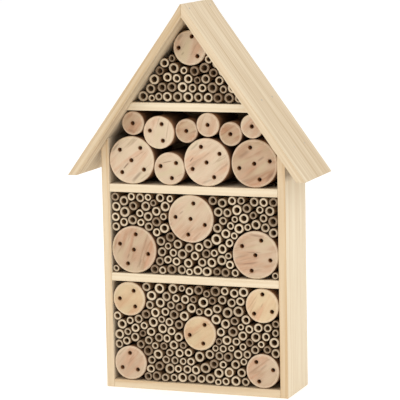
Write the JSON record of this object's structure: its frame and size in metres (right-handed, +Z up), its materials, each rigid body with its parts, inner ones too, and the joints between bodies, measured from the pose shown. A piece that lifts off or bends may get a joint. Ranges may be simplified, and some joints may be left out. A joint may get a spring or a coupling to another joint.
{
  "type": "insect hotel",
  "caption": "Tall pine insect hotel with a steep gable roof, shelves filled with drilled logs and bamboo canes, and a keyhole hanger on its back.",
  "frame": {"origin": "bottom centre of the overall box, in the plane that the base stands on", "axes": "+X to the right seen from the open front, +Y to the back, +Z up; the open front faces -Y"},
  "size_m": [0.3088, 0.104, 0.4821],
  "materials": {
    "pine_board": "planed, untreated",
    "roof_board": "planed, untreated",
    "plywood": "raw plywood",
    "log_pale": "sawn end grain",
    "log_brown": "sawn end grain",
    "bamboo": "sawn cane",
    "steel": "bright",
    "zinc": "zinc plated"
  },
  "bodies": {
    "root": {"left_side_panel": "pine_board", "right_side_panel": "pine_board", "base_panel": "pine_board", "lower_shelf": "pine_board", "middle_shelf": "pine_board", "attic_shelf": "pine_board", "left_roof_board": "roof_board", "right_roof_board": "roof_board", "back_panel": "plywood", "log_room_large_log_1": "log_pale", "log_room_large_log_2": "log_pale", "log_room_large_log_3": "log_brown", "middle_room_log_left": "log_pale", "middle_room_log_centre": "log_pale", "middle_room_log_right": "log_pale", "attic_log": "log_pale", "log_room_slim_log_1": "log_pale", "log_room_slim_log_2": "log_pale", "bottom_room_log_top_left": "log_pale", "bottom_room_log_top_right": "log_pale", "bottom_room_log_centre": "log_pale", "bottom_room_log_low_left": "log_pale", "bottom_room_log_low_right": "log_pale", "log_room_small_log_1": "log_brown", "log_room_small_log_2": "log_brown", "log_room_small_log_3": "log_pale", "log_room_small_log_4": "log_brown", "log_room_small_log_5": "log_pale", "attic_canes_1": "bamboo", "attic_canes_2": "bamboo", "attic_canes_3": "bamboo", "attic_canes_4": "bamboo", "middle_room_canes_1": "bamboo", "middle_room_canes_2": "bamboo", "middle_room_canes_3": "bamboo", "middle_room_canes_4": "bamboo", "middle_room_canes_5": "bamboo", "middle_room_canes_6": "bamboo", "middle_room_canes_7": "bamboo", "middle_room_canes_8": "bamboo", "bottom_room_canes_1": "bamboo", "bottom_room_canes_2": "bamboo", "bottom_room_canes_3": "bamboo", "bottom_room_canes_4": "bamboo", "bottom_room_canes_5": "bamboo", "bottom_room_canes_6": "bamboo", "bottom_room_canes_7": "bamboo", "bottom_room_canes_8": "bamboo", "bottom_room_canes_9": "bamboo", "bottom_room_canes_10": "bamboo", "side_nails": "steel", "roof_nails": "steel", "back_panel_brads": "steel", "hanger_plate": "zinc", "hanger_screws": "steel"}
  },
  "joints": []
}
